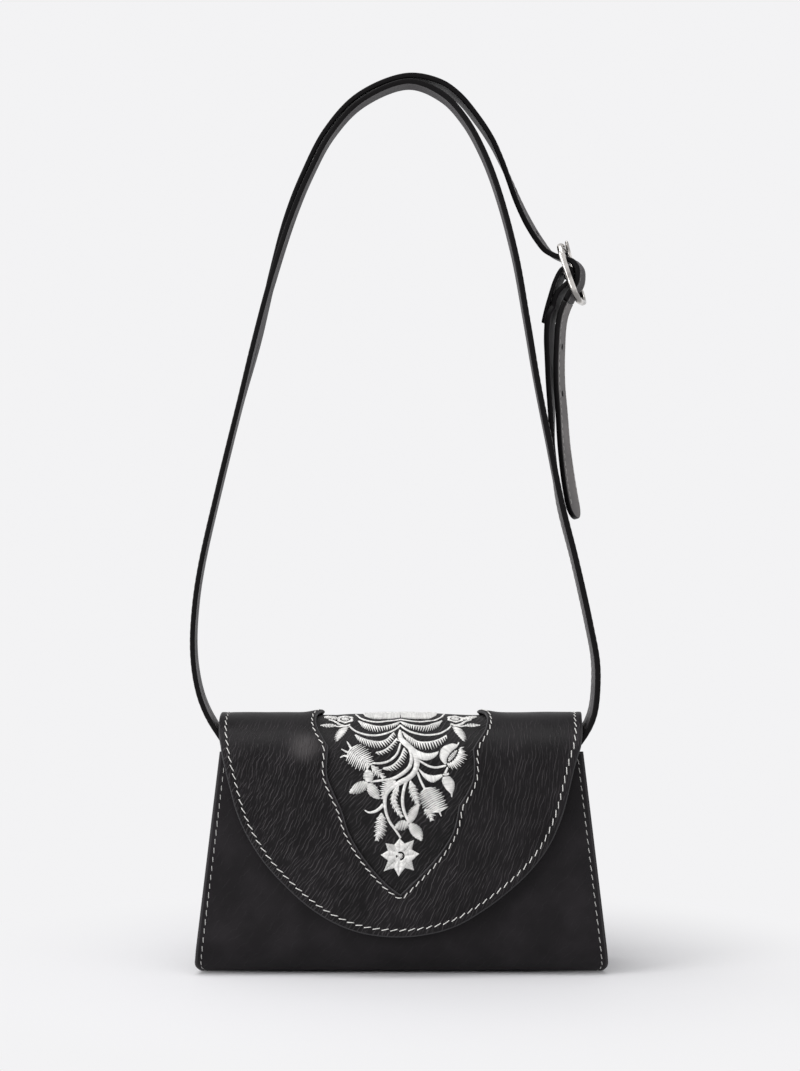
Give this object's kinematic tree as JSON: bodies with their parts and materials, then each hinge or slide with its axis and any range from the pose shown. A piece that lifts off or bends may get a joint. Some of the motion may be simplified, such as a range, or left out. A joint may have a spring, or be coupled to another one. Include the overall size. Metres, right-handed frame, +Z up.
{
  "type": "clutch bag",
  "caption": "Flap-front clutch bag of black leather with an embroidered scalloped inset and a doubled belt strap with a buckle.",
  "frame": {"origin": "middle of the flat base, on the surface that the bag stands on", "axes": "+Z up along the bag and the standing strap, +X along the width towards the buckle's side, -Y towards the flap's front"},
  "size_m": [0.2261, 0.0644, 0.4874],
  "materials": {
    "body_leather": "smooth semi-gloss black leather",
    "grained_leather": "grained, creased black leather",
    "inset_leather": "soft wrinkled black leather with off-white embroidery",
    "strap_leather": "firm black belt leather with burnished edges",
    "lining_cloth": "matt dark cloth",
    "board": "raw fibre board",
    "nickel": "polished nickel plate"
  },
  "bodies": {
    "root": {"body_wrap": "body_leather", "gusset_left": "body_leather", "gusset_right": "body_leather", "base_board": "board", "lining": "lining_cloth", "flap_seam_tab": "grained_leather", "snap_socket": "nickel", "snap_socket_washer": "nickel", "strap_end_front_left": "strap_leather", "strap_end_front_right": "strap_leather", "strap_end_rear_left": "strap_leather", "strap_end_rear_right": "strap_leather", "rivet_front_left": "nickel", "rivet_front_right": "nickel", "rivet_rear_left": "nickel", "rivet_rear_right": "nickel"},
    "flap": {"flap_outer": "grained_leather", "flap_inset": "inset_leather", "flap_stiffener": "board", "flap_lining": "lining_cloth", "snap_stud": "nickel", "snap_stud_washer": "nickel"},
    "strap": {"strap_front": "strap_leather", "strap_rear": "strap_leather", "strap_buckle_end": "strap_leather", "buckle_frame": "nickel"},
    "prong": {"buckle_prong": "nickel"},
    "tail": {"strap_tail": "strap_leather"}
  },
  "joints": [
    {"name": "flap_hinge", "type": "hinge", "parent": "root", "child": "flap", "pos_m": [0, 0.0268, 0.108], "axis": [-1, 0, 0], "range_deg": [0, 170]},
    {"name": "strap_swing", "type": "hinge", "parent": "root", "child": "strap", "pos_m": [0, 0, 0.123], "axis": [1, 0, 0], "range_deg": [-80, 80]},
    {"name": "prong_pivot", "type": "hinge", "parent": "strap", "child": "prong", "pos_m": [0.09277, 0.00896, 0.37886], "axis": [0.2588, 0.9659, 0], "range_deg": [0, 4]},
    {"name": "tail_swing", "type": "hinge", "parent": "strap", "child": "tail", "pos_m": [0.09315, 0.00886, 0.3632], "axis": [-0.2588, -0.9659, 0], "range_deg": [0, 60]}
  ]
}
